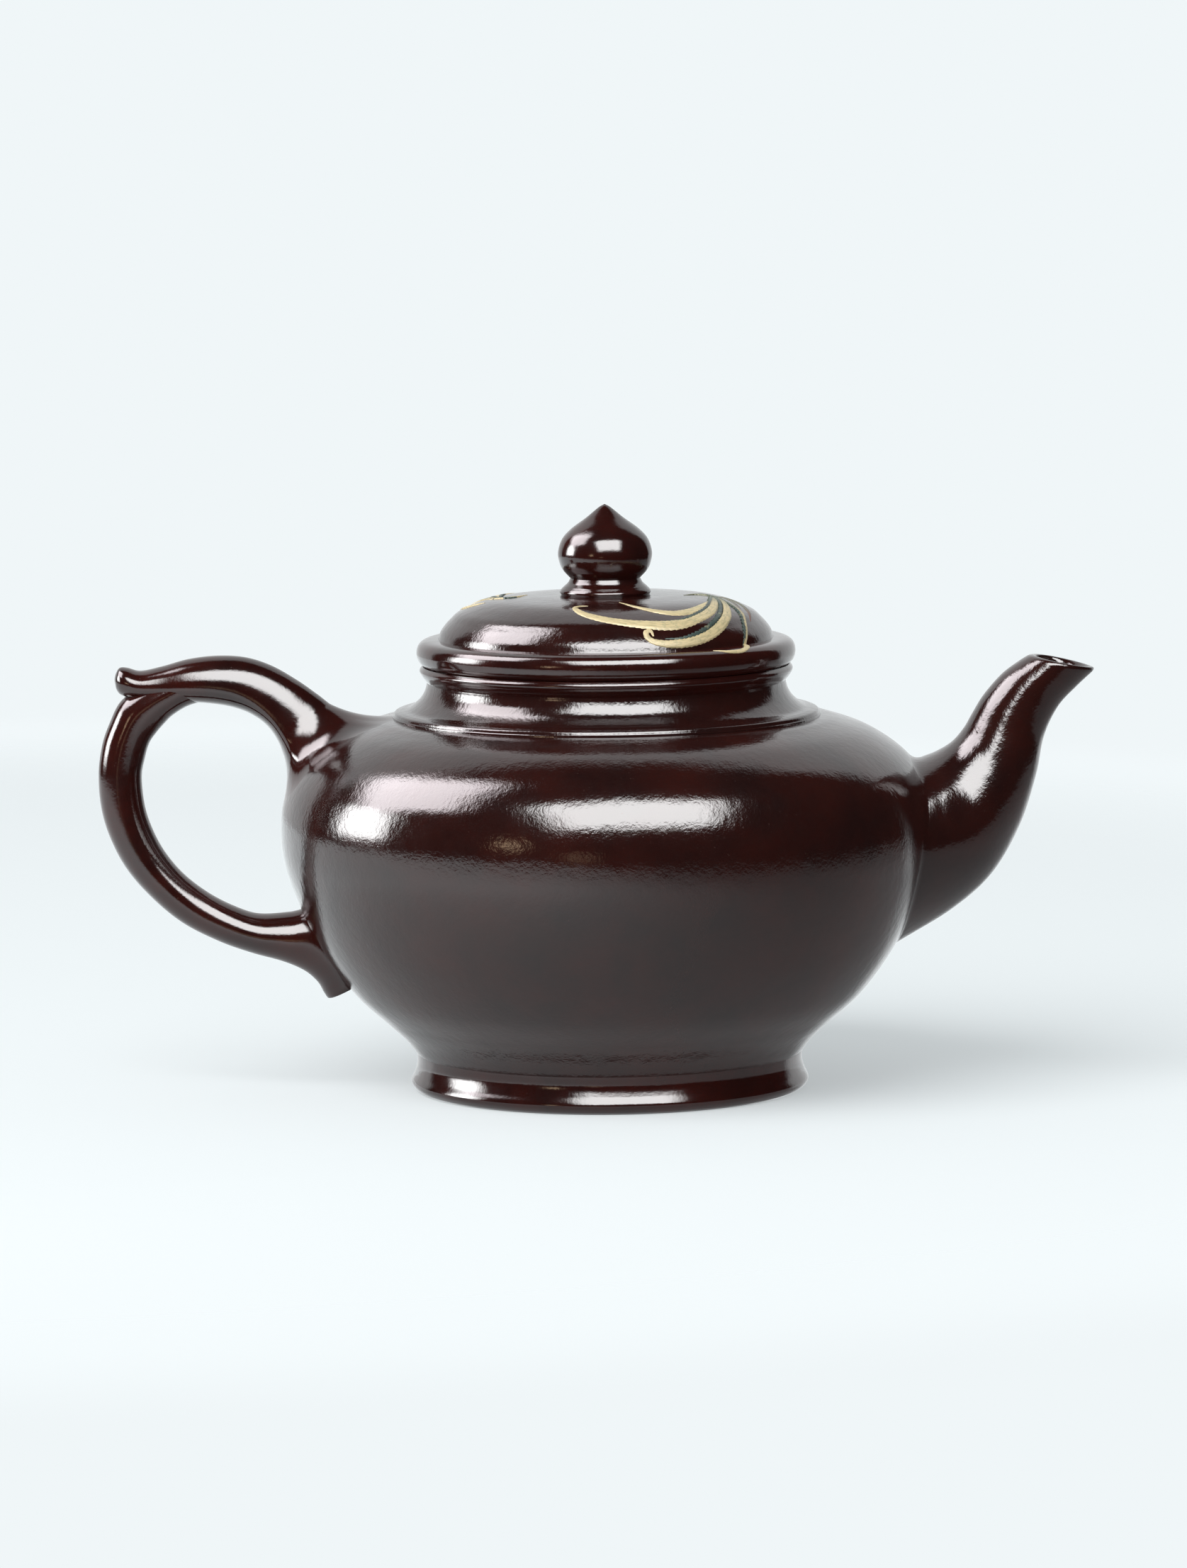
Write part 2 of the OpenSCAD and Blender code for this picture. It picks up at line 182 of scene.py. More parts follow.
def finished(name, mesh, body, nodes, material):
    """Smooth-shaded object with sharp edges where the surface turns hard, riding on its body."""
    bm = bmesh.new()
    bm.from_mesh(mesh)
    bmesh.ops.remove_doubles(bm, verts=bm.verts, dist=1e-7)
    bmesh.ops.recalc_face_normals(bm, faces=bm.faces)
    for face in bm.faces:
        face.smooth = True
    for edge in bm.edges:
        edge.smooth = not (len(edge.link_faces) == 2 and edge.calc_face_angle(0) > SHARP)
    bm.to_mesh(mesh)
    bm.free()
    obj = bpy.data.objects.new(name, mesh)
    bpy.context.scene.collection.objects.link(obj)
    mesh.materials.append(material)
    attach(obj, body)
    if nodes:
        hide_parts(*nodes)
    return obj


def skin(rings, closed_path=False):
    """Mesh over rings of points in millimetres; open ends are capped."""
    rings = np.asarray(rings, float)
    count, around = rings.shape[:2]
    faces = []
    for j in range(count if closed_path else count - 1):
        a, b = j * around, ((j + 1) % count) * around
        for i in range(around):
            k = (i + 1) % around
            faces.append((a + i, b + i, b + k, a + k))
    if not closed_path:
        faces.append(tuple(range(around)))
        faces.append(tuple(range((count - 1) * around, count * around))[::-1])
    mesh = bpy.data.meshes.new("skin")
    mesh.from_pydata((rings.reshape(-1, 3) * MM).tolist(), [], faces)
    return mesh


def turned(loop):
    """Mesh of a closed (radius, height) loop turned round the Z axis."""
    angles = np.linspace(0, 2 * math.pi, SEGMENTS, endpoint=False)
    spin = np.column_stack([np.cos(angles), np.sin(angles)])
    loop = np.asarray(loop, float)
    rings = [np.column_stack([r * spin, np.full(SEGMENTS, z)]) for r, z in loop]
    return skin(rings, closed_path=True)


def bored(mesh, start, end, r):
    """Cuts a round hole from start to end, in millimetres, through a mesh."""
    target = bpy.data.objects.new("target", mesh)
    bpy.context.scene.collection.objects.link(target)
    axis = Vector(end) - Vector(start)
    bm = bmesh.new()
    bmesh.ops.create_cone(bm, cap_ends=True, segments=48, radius1=r * MM, radius2=r * MM,
                          depth=axis.length * MM)
    middle = (Vector(start) + Vector(end)) / 2 * MM
    place = Matrix.Translation(middle) @ axis.to_track_quat("Z", "Y").to_matrix().to_4x4()
    bmesh.ops.transform(bm, matrix=place, verts=bm.verts)
    drill_mesh = bpy.data.meshes.new("drill")
    bm.to_mesh(drill_mesh)
    bm.free()
    drill = bpy.data.objects.new("drill", drill_mesh)
    bpy.context.scene.collection.objects.link(drill)
    cut = target.modifiers.new("cut", "BOOLEAN")
    cut.operation = "DIFFERENCE"
    cut.solver = "EXACT"
    cut.object = drill
    bpy.context.view_layer.update()
    result = bpy.data.meshes.new_from_object(
        target.evaluated_get(bpy.context.evaluated_depsgraph_get()))
    for obj in (target, drill):
        bpy.data.objects.remove(obj)
    return result


# ---- Materials ----------------------------------------------------------------------

class Nodes:
    """A node tree, with short calls to add nodes and join them."""

    def __init__(self, tree):
        self.tree = tree

    def add(self, kind, **settings):
        node = self.tree.nodes.new(kind)
        for key, value in settings.items():
            setattr(node, key, value)
        return node

    def join(self, output, socket):
        self.tree.links.new(output, socket)

    def math(self, operation, *values):
        """Result of one operation on numbers and outputs."""
        node = self.add("ShaderNodeMath", operation=operation)
        for socket, value in zip(node.inputs, values):
            if isinstance(value, (int, float)):
                socket.default_value = value
            else:
                self.join(value, socket)
        return node.outputs[0]

    def smooth(self, value, start, end, first=0, last=1):
        """Smooth step from first, where the value is at start, to last at end."""
        node = self.add("ShaderNodeMapRange", interpolation_type="SMOOTHSTEP")
        for key, number in (("From Min", start), ("From Max", end), ("To Min", first), ("To Max", last)):
            node.inputs[key].default_value = number
        self.join(value, node.inputs["Value"])
        return node.outputs["Result"]

    def split(self, vector):
        """The three coordinates of a vector."""
        node = self.add("ShaderNodeSeparateXYZ")
        self.join(vector, node.inputs[0])
        return node.outputs

    def mix(self, factor, first, second):
        """Mix of two colours, each a tuple or an output."""
        node = self.add("ShaderNodeMix", data_type="RGBA")
        self.join(factor, node.inputs[0])
        for value, socket in ((first, node.inputs[6]), (second, node.inputs[7])):
            if isinstance(value, tuple):
                socket.default_value = (*value, 1)
            else:
                self.join(value, socket)
        return node.outputs[2]


class Surface(Nodes):
    """A material round one Principled shader, placed in the object's own space."""

    def __init__(self, name):
        self.material = bpy.data.materials.new(name)
        self.material.use_nodes = True
        super().__init__(self.material.node_tree)
        self.shader = self.tree.nodes["Principled BSDF"]
        self.place = self.add("ShaderNodeTexCoord").outputs["Object"]

    def noise(self, size, detail=2.0, roughness=0.5, where=None):
        """Noise whose lumps are about size metres across."""
        node = self.add("ShaderNodeTexNoise")
        node.inputs["Scale"].default_value = 1 / size
        node.inputs["Detail"].default_value = detail
        node.inputs["Roughness"].default_value = roughness
        self.join(where or self.place, node.inputs["Vector"])
        return node.outputs["Fac"]

    def ramp(self, factor, stops):
        """Colour ramp: stops are (position, colour or grey)."""
        node = self.add("ShaderNodeValToRGB")
        elements = node.color_ramp.elements
        while len(elements) < len(stops):
            elements.new(0.5)
        for element, (position, colour) in zip(elements, stops):
            element.position = position
            if isinstance(colour, (int, float)):
                colour = (colour, colour, colour)
            element.color = (*colour, 1)
        self.join(factor, node.inputs["Fac"])
        return node.outputs["Color"]

    def bump(self, height, depth, normal=None):
        """Bump whose full height is depth metres."""
        node = self.add("ShaderNodeBump")
        node.inputs["Strength"].default_value = 1
        node.inputs["Distance"].default_value = depth
        self.join(height, node.inputs["Height"])
        if normal:
            self.join(normal, node.inputs["Normal"])
        return node.outputs["Normal"]


def polished_clay(name, dark, light, pebble):
    """Dark red-brown clay polished to a gloss, with a fine pebbled skin and sand specks.

    pebble is how rough the skin is: 1 on the broad walls, less where fingers have smoothed it.
    """
    m = Surface(name)
    mottle = m.ramp(m.noise(0.012, 4, 0.6), [(0.32, dark), (0.68, light)])
    grain = m.ramp(m.noise(0.0009, 3, 0.7), [(0.35, 0.0), (0.7, 0.4)])
    colour = m.mix(grain, mottle, (0.017, 0.0068, 0.0058))
    specks = m.ramp(m.noise(0.00034, 1, 0.4), [(0.74, 0.0), (0.80, 0.8)])
    m.join(m.mix(specks, colour, (0.040, 0.018, 0.013)), m.shader.inputs["Base Color"])
    gloss = m.ramp(m.noise(0.005, 5, 0.65), [(0.3, 0.08), (0.7, 0.14)])
    m.join(m.mix(specks, gloss, (0.3, 0.3, 0.3)), m.shader.inputs["Roughness"])
    m.shader.inputs["IOR"].default_value = 1.62
    waves = m.bump(m.noise(0.009, 1, 0.4), 0.00010)
    ripples = m.bump(m.noise(0.0016, 1, 0.4), 0.000034 * pebble, waves)
    pebbles = m.bump(m.noise(0.00048, 2, 0.6), 0.000028 * pebble, ripples)
    m.join(pebbles, m.shader.inputs["Normal"])
    return m.material


def plain_clay():
    """The same clay unpolished, as it is inside the pot."""
    m = Surface("plain_clay")
    mottle = m.ramp(m.noise(0.004, 4, 0.6), [(0.3, (0.060, 0.020, 0.014)), (0.7, (0.090, 0.032, 0.022))])
    specks = m.ramp(m.noise(0.00035, 1, 0.4), [(0.64, 0.0), (0.70, 1.0)])
    m.join(m.mix(specks, mottle, (0.17, 0.08, 0.055)), m.shader.inputs["Base Color"])
    m.shader.inputs["Roughness"].default_value = 0.62
    m.join(m.bump(m.noise(0.0004, 3, 0.6), 0.00004), m.shader.inputs["Normal"])
    return m.material


def slip(name, dark, light, stain):
    """Brushed slip: hair streaks slanting across the stroke, stained where worn and at the quill."""
    m = Surface(name)
    place = m.add("ShaderNodeUVMap", uv_map="brush").outputs["UV"]
    slant = m.add("ShaderNodeMapping")
    slant.inputs["Rotation"].default_value = (0, 0, math.radians(24))
    slant.inputs["Scale"].default_value = (0.55, 3.6, 1)
    m.join(place, slant.inputs["Vector"])
    hairs = m.noise(1, 3, 0.6, slant.outputs["Vector"])
    middle = tuple((a + 2 * b) / 3 for a, b in zip(dark, light))
    streaks = m.ramp(hairs, [(0.28, dark), (0.42, middle), (0.56, light)])
    worn = m.ramp(m.noise(0.0013, 4, 0.7), [(0.56, 0.0), (0.66, 0.9)])
    m.join(m.mix(quill_stain(m), m.mix(worn, streaks, stain), QUILL), m.shader.inputs["Base Color"])
    m.shader.inputs["Roughness"].default_value = 0.42
    grain = m.bump(m.noise(0.0004, 2, 0.5), 0.00002)
    m.join(m.bump(hairs, 0.00004, grain), m.shader.inputs["Normal"])
    return m.material


def quill_stain(m):
    """How far the front spray's colours run together, near the lid's middle line."""
    x, y, _ = m.split(m.place)
    both = m.math("MULTIPLY", m.smooth(y, -0.010, -0.002), m.smooth(x, 0.0, 0.004))
    return m.math("MULTIPLY", both, 0.85)


QUILL = (0.13, 0.15, 0.10)
CLAY = polished_clay("polished_clay", (0.011, 0.0036, 0.0033), (0.026, 0.0054, 0.0040), 1)
# Less pebbled clay for the foot, rim, flange, collar, knob and handle. Its redder, lighter tone than the
# polished clay's is painted light.
SMOOTH_PAINTED_LIT_CLAY = polished_clay("smooth_painted_lit_clay", (0.013, 0.0030, 0.0026), (0.036, 0.0056, 0.0038), 0.4)
INSIDE = plain_clay()
CREAM = slip("cream_slip", (0.33, 0.28, 0.14), (0.68, 0.55, 0.30), (0.42, 0.37, 0.20))
GREEN = slip("green_slip", (0.006, 0.015, 0.012), (0.024, 0.050, 0.040), (0.20, 0.20, 0.12))
RUSSET = slip("russet_slip", (0.10, 0.022, 0.014), (0.18, 0.050, 0.030), (0.09, 0.05, 0.035))


# ---- Turned pieces of the pot -------------------------------------------------------

def make_foot():
    outline = curve([
        (foot_r - 1.6, 0), (foot_r - 0.6, 0.5), (foot_r, 1.5), (foot_r - 0.6, 3),
        (foot_r - 1, 4.4), (joint_r, foot_h)])
    recess = disc_r - 1
    inside = [(disc_r, foot_h), (disc_r, foot_h - 1), (recess, foot_h - 1), (recess, 0.4), (recess + 0.4, 0)]
    loop = [*outline, *inside]
    finished("foot_ring_clay", turned(loop), "pot", ["foot_ring"], SMOOTH_PAINTED_LIT_CLAY)


def make_bottom():
    low_z = disc_top - 3
    loop = [(0.01, low_z), (disc_r, low_z), (disc_r, disc_top), (0.01, disc_top)]
    finished("bottom_disc_clay", turned(loop), "pot", ["bottom_disc"], INSIDE)


def make_bowl():
    inside = beside(bowl_outline, wall)
    inside = inside[(inside[:, 1] > disc_top + 1) & ((inside[:, 0] > ridge_r) | (inside[:, 1] < belly_z))]
    loop = [*bowl_outline, (ridge_r, shoulder_low), *inside[::-1], (disc_r, disc_top), (disc_r, foot_h)]
    strainer_z = (low("strainer") + high("strainer")) / 2
    strainer_r = radius("strainer")
    start = (bowl_r - 15, 0, strainer_z)
    end = (bowl_r + 5, 0, strainer_z)
    mesh = bored(turned(loop), start, end, strainer_r)
    bowl = finished("bowl_wall_clay", mesh, "pot", ["bowl_wall"], CLAY)
    bowl.data.materials.append(INSIDE)
    for face in bowl.data.polygons:
        centre = np.array(face.center) / MM
        if onto_bowl(centre)[2] < -INNER:
            face.material_index = 1


def make_shoulder():
    loop = [
        (mouth_r, shoulder_low), (ridge_r, shoulder_low), (ridge_r, ledge_z - 0.25),
        (ridge_r - 0.03, ledge_z - 0.12), (ridge_r - 0.12, ledge_z - 0.03), (ridge_r - 0.25, ledge_z),
        (mouth_r, ledge_z)]
    finished("shoulder_disc_clay", turned(loop), "pot", ["shoulder_disc"], CLAY)


def make_neck():
    outline = curve([
        (ridge_r - 0.2, ledge_z), (ridge_r - 0.45, ledge_z + 0.5), (ridge_r - 1.2, ledge_z + 0.75),
        (neck_r + 2.8, ridge_z + 1.5), (neck_r + 1.25, ridge_z + 2.7),
        (neck_r + 0.4, ridge_z + 3.9), (neck_r, ridge_z + 5), (neck_r - 0.1, neck_z)])
    loop = [*outline, (mouth_r, neck_z), (mouth_r, ledge_z)]
    finished("neck_clay", turned(loop), "pot", ["neck"], CLAY)


def make_rim():
    outline = curve([
        (neck_r - 0.1, neck_z), (rim_r - 0.6, neck_z + 0.6), (rim_r - 0.1, neck_z + 1.4),
        (rim_r, neck_z + 2), (rim_r - 0.4, rim_z)])
    loop = [*outline, (mouth_r + 0.4, rim_z), (mouth_r + 0.1, rim_z - 0.1), (mouth_r, rim_z - 0.4),
            (mouth_r, neck_z)]
    finished("mouth_rim_clay", turned(loop), "pot", ["mouth_rim"], SMOOTH_PAINTED_LIT_CLAY)


# ---- Turned pieces of the lid -------------------------------------------------------

def make_skirt():
    loop = [
        (skirt_r, flange_z), (skirt_r, skirt_low + 0.5), (skirt_r - 0.15, skirt_low + 0.15),
        (skirt_r - 0.5, skirt_low), (skirt_in + 0.5, skirt_low), (skirt_in + 0.15, skirt_low + 0.15),
        (skirt_in, skirt_low + 0.5), (skirt_in, flange_z)]
    finished("lid_skirt_clay", turned(loop), "lid", ["lid_skirt"], INSIDE)


def make_flange():
    loop = [*flange_outline, (skirt_in, dome_z), (skirt_in, flange_z)]
    finished("lid_flange_clay", turned(loop), "lid", ["lid_flange"], SMOOTH_PAINTED_LIT_CLAY)


def make_dome():
    inside = beside(dome_outline, dome_wall)
    inside = inside[(inside[:, 1] > dome_z) & (inside[:, 0] > collar_r)]
    loop = [*dome_outline, (0.01, dome_top), (0.01, dome_top - dome_wall), *inside[::-1],
            (inside[0][0], dome_z)]
    vent_y = 13
    vent_r = 1.1
    mesh = bored(turned(loop), (0, vent_y, dome_z), (0, vent_y, dome_top + 2), vent_r)
    dome = finished("lid_dome_clay", mesh, "lid", ["lid_dome"], CLAY)
    dome.data.materials.append(INSIDE)
    for face in dome.data.polygons:
        rho = math.hypot(face.center.x, face.center.y) / MM
        if face.center.z / MM < dome_height(rho) - INNER:
            face.material_index = 1


def make_knob_collar():
    collar_h = knob_z - dome_top
    outline = curve([
        (collar_r - 0.2, dome_top), (collar_r, dome_top + 0.22 * collar_h),
        (collar_r - 0.6, dome_top + 0.48 * collar_h), (collar_r - 1.3, dome_top + 0.72 * collar_h),
        (collar_r - 1.7, knob_z)])
    loop = [*outline, (0.01, knob_z), (0.01, dome_top)]
    finished("knob_collar_clay", turned(loop), "lid", ["knob_collar"], SMOOTH_PAINTED_LIT_CLAY)


def make_knob():
    outline = curve([
        (knob_r - 1.9, knob_z), (knob_r - 0.8, knob_z + 0.1 * knob_h), (knob_r - 0.25, knob_z + 0.2 * knob_h),
        (knob_r, knob_z + 0.35 * knob_h), (0.91 * knob_r, knob_z + 0.53 * knob_h),
        (0.71 * knob_r, knob_z + 0.67 * knob_h), (0.4 * knob_r, knob_z + 0.815 * knob_h),
        (0.13 * knob_r, knob_z + 0.955 * knob_h), (0.01, knob_z + knob_h)])
    loop = [*outline, (0.01, knob_z)]
    finished("knob_clay", turned(loop), "lid", ["knob"], SMOOTH_PAINTED_LIT_CLAY)


# ---- Swept pieces: spout and handle -------------------------------------------------

def ring(station, around):
    """Ring round one station: (edge x, edge z, other edge x, z, half width, widest place, keel)."""
    x1, z1, x2, z2, half, widest, keel = station[:7]
    first, second = np.array([x1, z1]), np.array([x2, z2])
    middle = first + widest * (second - first)
    angle = np.linspace(0, 2 * math.pi, around, endpoint=False)
    c, w = np.cos(angle), np.sin(angle)
    edge = np.where(c[:, None] > 0, first, second)
    flat = middle + np.abs(c)[:, None] * (edge - middle)
    power = np.where(c < 0, 1 + keel, 1)
    y = half * np.sign(w) * np.abs(w) ** power
    return np.column_stack([flat[:, 0], y, flat[:, 1]])


def narrowed(station, t):
    """The station moved inwards by t all round."""
    s = np.array(station, float)
    u = (s[2:4] - s[0:2]) / np.linalg.norm(s[2:4] - s[0:2])
    s[0:2] += 1.2 * t * u
    s[2:4] -= 1.6 * t * u
    s[4] -= t
    return s


# Mouth first: distance out from the bowl's radius and height of the upper edge, the same of
# the lower edge, half width, place of the widest point, keel, thickness of the clay
SPOUT = [
    (15.7, 69.5, 26.5, 67.4, 5.2, 0.42, 0.3, 1.0),
    (13.7, 68.3, 23.2, 64.4, 5.4, 0.46, 0.1, 1.35),
    (10.9, 66.2, 20.0, 61.0, 5.7, 0.50, 0, 1.8),
    (8.0, 62.9, 17.7, 56.2, 6.3, 0.50, 0, 2.0),
    (6.2, 60.0, 16.4, 50.0, 7.3, 0.52, 0, 2.2),
    (4.8, 57.6, 13.8, 42.0, 8.7, 0.54, 0.1, 2.3),
    (2.9, 55.4, 9.3, 34.2, 10.8, 0.54, 0.2, 2.4),
    (0.3, 53.8, 3.0, 28.5, 13.7, 0.49, 0.4, 2.6),
    (-2.6, 52.6, -5.6, 23.3, 16.3, 0.45, 0.5, 2.8),
    (-8.0, 50.0, -11.5, 19.8, 17.2, 0.43, 0.5, 2.8),
]


def make_spout():
    around = 128
    below_lip = 6
    lip_rows = 15
    stations = curve(SPOUT)
    stations[:, [0, 2]] += bowl_r
    outer = np.array([ring(s, around) for s in stations])
    inner = np.array([ring(narrowed(s, s[7]), around) for s in stations])
    lip = [bezier(t, inner[below_lip], inner[0], outer[0], outer[below_lip])
           for t in np.linspace(0, 1, lip_rows + 2)[1:-1]]
    outside = flared(outer, top=1.6, side=0.9, under=0.5, rows=24)[below_lip:]
    inside = kept_in_wall(inner[below_lip:])[::-1]
    mesh = skin([*outside, *inside, *lip], closed_path=True)
    for face in mesh.polygons:
        if len(outside) <= face.index // around < len(outside) + len(inside) - 2:
            face.material_index = 1
    spout = finished("spout_clay", mesh, "pot", ["spout"], CLAY)
    spout.data.materials.append(INSIDE)


# Distance out from the bowl's radius and height of the outer edge, the same of the inner edge,
# half width, place of the widest point
UPPER_ROLL = [
    (26.35, 66.9, 26.35, 66.7, 0.25, 0.50),
    (26.1, 67.8, 26.3, 66.0, 1.2, 0.50),
    (25.5, 68.6, 26.0, 64.9, 2.2, 0.50),
    (24.3, 68.6, 25.1, 64.1, 3.0, 0.50),
    (22.1, 68.1, 22.6, 63.5, 3.5, 0.52),
    (18.6, 68.8, 19.0, 63.2, 3.8, 0.56),
    (14.5, 69.9, 14.8, 63.0, 4.3, 0.60),
    (9.9, 70.4, 10.9, 62.7, 4.6, 0.62),
    (5.3, 70.1, 7.5, 62.1, 4.7, 0.66),
    (1.1, 68.7, 4.6, 61.0, 4.8, 0.72),
    (-3.0, 66.3, 2.0, 59.1, 5.0, 0.78),
    (-6.2, 64.0, 0.2, 56.4, 5.3, 0.80),
    (-9.4, 61.6, -0.9, 53.3, 5.8, 0.76),
    (-14.5, 59.2, -2.6, 49.9, 6.4, 0.70),
    (-19.5, 54.7, -7.5, 46.5, 6.8, 0.60),
]
LOWER_ROLL = [
    (8.5, 69.4, 8.9, 63.6, 3.3, 0.46),
    (14.0, 68.7, 13.9, 62.6, 3.8, 0.46),
    (18.8, 67.0, 16.9, 61.0, 3.9, 0.46),
    (23.1, 65.0, 18.6, 59.4, 3.9, 0.46),
    (25.6, 63.0, 19.9, 57.9, 3.9, 0.46),
    (27.2, 59.9, 20.9, 56.4, 3.9, 0.46),
    (28.5, 56.3, 21.6, 54.2, 3.9, 0.46),
    (29.2, 51.3, 22.2, 51.0, 3.9, 0.46),
    (28.8, 45.7, 21.8, 46.4, 3.9, 0.46),
    (27.3, 40.7, 20.6, 42.5, 3.9, 0.46),
    (24.7, 35.8, 18.6, 38.7, 3.9, 0.46),
    (20.7, 31.2, 15.7, 35.2, 3.9, 0.46),
    (15.9, 27.2, 11.9, 32.2, 3.9, 0.46),
    (10.1, 24.2, 7.8, 30.0, 4.0, 0.46),
    (4.9, 22.3, 3.8, 28.7, 4.2, 0.46),
    (0, 20.9, -1.2, 28.9, 4.5, 0.46),
    (-3.4, 19.4, -6.4, 29.6, 4.6, 0.46),
    (-5.5, 17.6, -10.0, 25.5, 4.5, 0.46),
    (-6.5, 15.9, -12.5, 20.4, 4.3, 0.46),
    (-7.1, 15.0, -13.4, 18.1, 4.15, 0.46),
    (-7.5, 14.9, -13.5, 17.9, 3.8, 0.46),
]


def handle_rings(plan, around=64):
    stations = curve(plan)
    stations[:, [0, 2]] = -bowl_r - stations[:, [0, 2]]
    return np.array([ring((*s, 0), around) for s in stations])


def bezier(t, a, b, c, d):
    """Point at t on the cubic curve from a to d with handles b and c."""
    return (1 - t) ** 3 * a + 3 * t * (1 - t) ** 2 * b + 3 * t ** 2 * (1 - t) * c + t ** 3 * d


def along(line, ends, rows):
    """Points spread evenly on a polyline between two distances from its start."""
    reach = np.concatenate([[0], np.cumsum(np.linalg.norm(np.diff(line, axis=0), axis=1))])
    where = np.linspace(*ends, rows)
    return np.column_stack([np.interp(where, reach, line[:, k]) for k in range(3)])


def flared(rings, top, side, under, rows=12):
    """Rings running into the bowl, ended in a fillet that lies down on its surface.

    top, side and under are the fillet's sizes on the outer edge, the sides and the inner edge.
    """
    clear = 5           # rings wholly this far off the bowl stay as they are
    grip = 0.67         # how strongly the fillet holds to both surfaces
    pressed = 0.015     # how far its edge sinks into the bowl
    rooted = 1.5        # how far the last ring goes under
    around = rings.shape[1]
    _, _, away = onto_bowl(rings)
    start = int(np.max(np.flatnonzero(away.min(axis=1) > clear)))
    angle = np.linspace(0, 2 * math.pi, around, endpoint=False)
    size = side + (top - side) * np.clip(np.cos(angle), 0, 1) ** 2 \
        + (under - side) * np.clip(-np.cos(angle), 0, 1) ** 2
    lines, meets, begins = [], [], []
    for i in range(around):
        line = rings[start:, i]
        depth = away[start:, i]
        k = int(np.argmax(depth <= 0))
        t = depth[k - 1] / (depth[k - 1] - depth[k])
        meet = line[k - 1] + t * (line[k] - line[k - 1])
        line = np.vstack([line[:k], meet])
        length = np.linalg.norm(np.diff(line, axis=0), axis=1).sum()
        lines.append(along(line, (0, length - size[i]), 2 * rows))
        begins.append(lines[-1][-1])
        meets.append(meet)
    meets, begins = np.array(meets), np.array(begins)
    _, normal, _ = onto_bowl(meets)
    spread = meets - meets.mean(axis=0)
    spread -= (spread * normal).sum(-1)[:, None] * normal
    spread /= np.linalg.norm(spread, axis=1)[:, None]
    ends, flat, _ = onto_bowl(meets + size[:, None] * spread)
    lift = ((ends - meets) * flat).sum(-1) / (normal * flat).sum(-1)
    landing = ends + grip * (meets + lift[:, None] * normal - ends)
    leaving = begins + grip * (meets - begins)
    fillet = []
    for t in np.linspace(0, 1, 3 * rows)[1:]:
        point, normal, above = onto_bowl(bezier(t, begins, leaving, landing, ends))
        above = np.maximum(above, 0) - pressed * t ** 4
        fillet.append(point + above[:, None] * normal)
    point, normal, _ = onto_bowl(fillet[-1])
    fillet.append(point - rooted * normal)
    straight = np.array(lines).transpose(1, 0, 2)
    return np.concatenate([rings[:start], straight, np.array(fillet)])


def make_handle():
    upper = flared(handle_rings(UPPER_ROLL), top=7, side=6.5, under=4.6)
    finished("handle_upper_clay", skin(upper), "pot", ["handle_upper"], SMOOTH_PAINTED_LIT_CLAY)
    lower = kept_in_wall(handle_rings(LOWER_ROLL))
    finished("handle_lower_clay", skin(lower), "pot", ["handle_lower"], SMOOTH_PAINTED_LIT_CLAY)


# ---- Slip painting on the lid -------------------------------------------------------

# Brush strokes on the lid's skin rolled out flat round its middle: (x, y, half width), all in
# millimetres measured along the clay
CREAM_STROKES = [
    [(2.2, -12.9, 0.12), (4.8, -16.9, 0.4), (8.2, -18.5, 0.75), (11.8, -17.7, 0.95), (14.7, -14, 0.9),
     (16.8, -7.6, 0.6), (17, -1, 0.3)],
    [(-2.8, -16, 0.12), (-4.1, -16.1, 0.3), (-4.9, -17.4, 0.45), (-3.6, -20.2, 0.75), (-0.5, -22.4, 0.95),
     (3.5, -23.4, 1.05), (7.8, -23.1, 1.2), (11.4, -21.7, 1.25), (14.3, -18.6, 1.2), (16.6, -14, 1),
     (17.4, -8.2, 0.7), (17.2, -2, 0.3)],
    [(7.8, -25.6, 0.15), (7.3, -24.7, 0.35), (6.6, -25, 0.5), (6.8, -26, 0.55), (8.2, -26.6, 0.6),
     (10.9, -26.1, 0.75), (14, -24.4, 0.9), (16.6, -21.8, 0.95), (18.5, -18.2, 0.95), (19.5, -13.5, 0.85),
     (19.3, -7.6, 0.6), (18, -1.7, 0.3)],
    [(18.4, -25, 0.15), (21, -24.2, 0.4), (23.4, -22, 0.5), (24.4, -19, 0.5), (23.8, -16, 0.4),
     (22.9, -12.5, 0.5), (21.6, -8, 0.5), (19.5, -4.5, 0.4), (18, 0, 0.2)],
    [(12.6, -1.6, 0.15), (14.2, 0.6, 0.4), (16.2, 0.8, 0.5), (18.4, -0.8, 0.3)],
]
GREEN_STROKES = [
    [(8.4, -22, 0.1), (11.6, -20.5, 0.35), (13.8, -17.8, 0.5), (15.7, -13.5, 0.5), (16.6, -8, 0.6),
     (16.9, -1, 0.4)],
    [(9.8, -25.5, 0.1), (12.6, -24.3, 0.35), (15.2, -21.8, 0.55), (17.2, -18.2, 0.6), (18.3, -13.4, 0.55),
     (18.3, -7.4, 0.5), (17.4, -1, 0.4)],
    [(24.2, -18.6, 0.1), (23.5, -15.8, 0.35), (22.5, -12.3, 0.5), (21.2, -8.1, 0.5), (19.2, -4.4, 0.4),
     (17.8, 0, 0.3)],
    [(13.4, -0.6, 0.1), (15, 1.4, 0.4), (17, 0, 0.5), (17.8, -3, 0.25)],
]
RUSSET_STROKES = [
    [(18.6, 2.2, 0.15), (20.4, 0.9, 0.4), (22, -1.6, 0.5), (23.2, -5.6, 0.4), (23.8, -9.6, 0.12)],
    [(17.8, 1.2, 0.15), (19.4, 0, 0.35), (20.8, -2.8, 0.35), (21.8, -6, 0.12)],
]
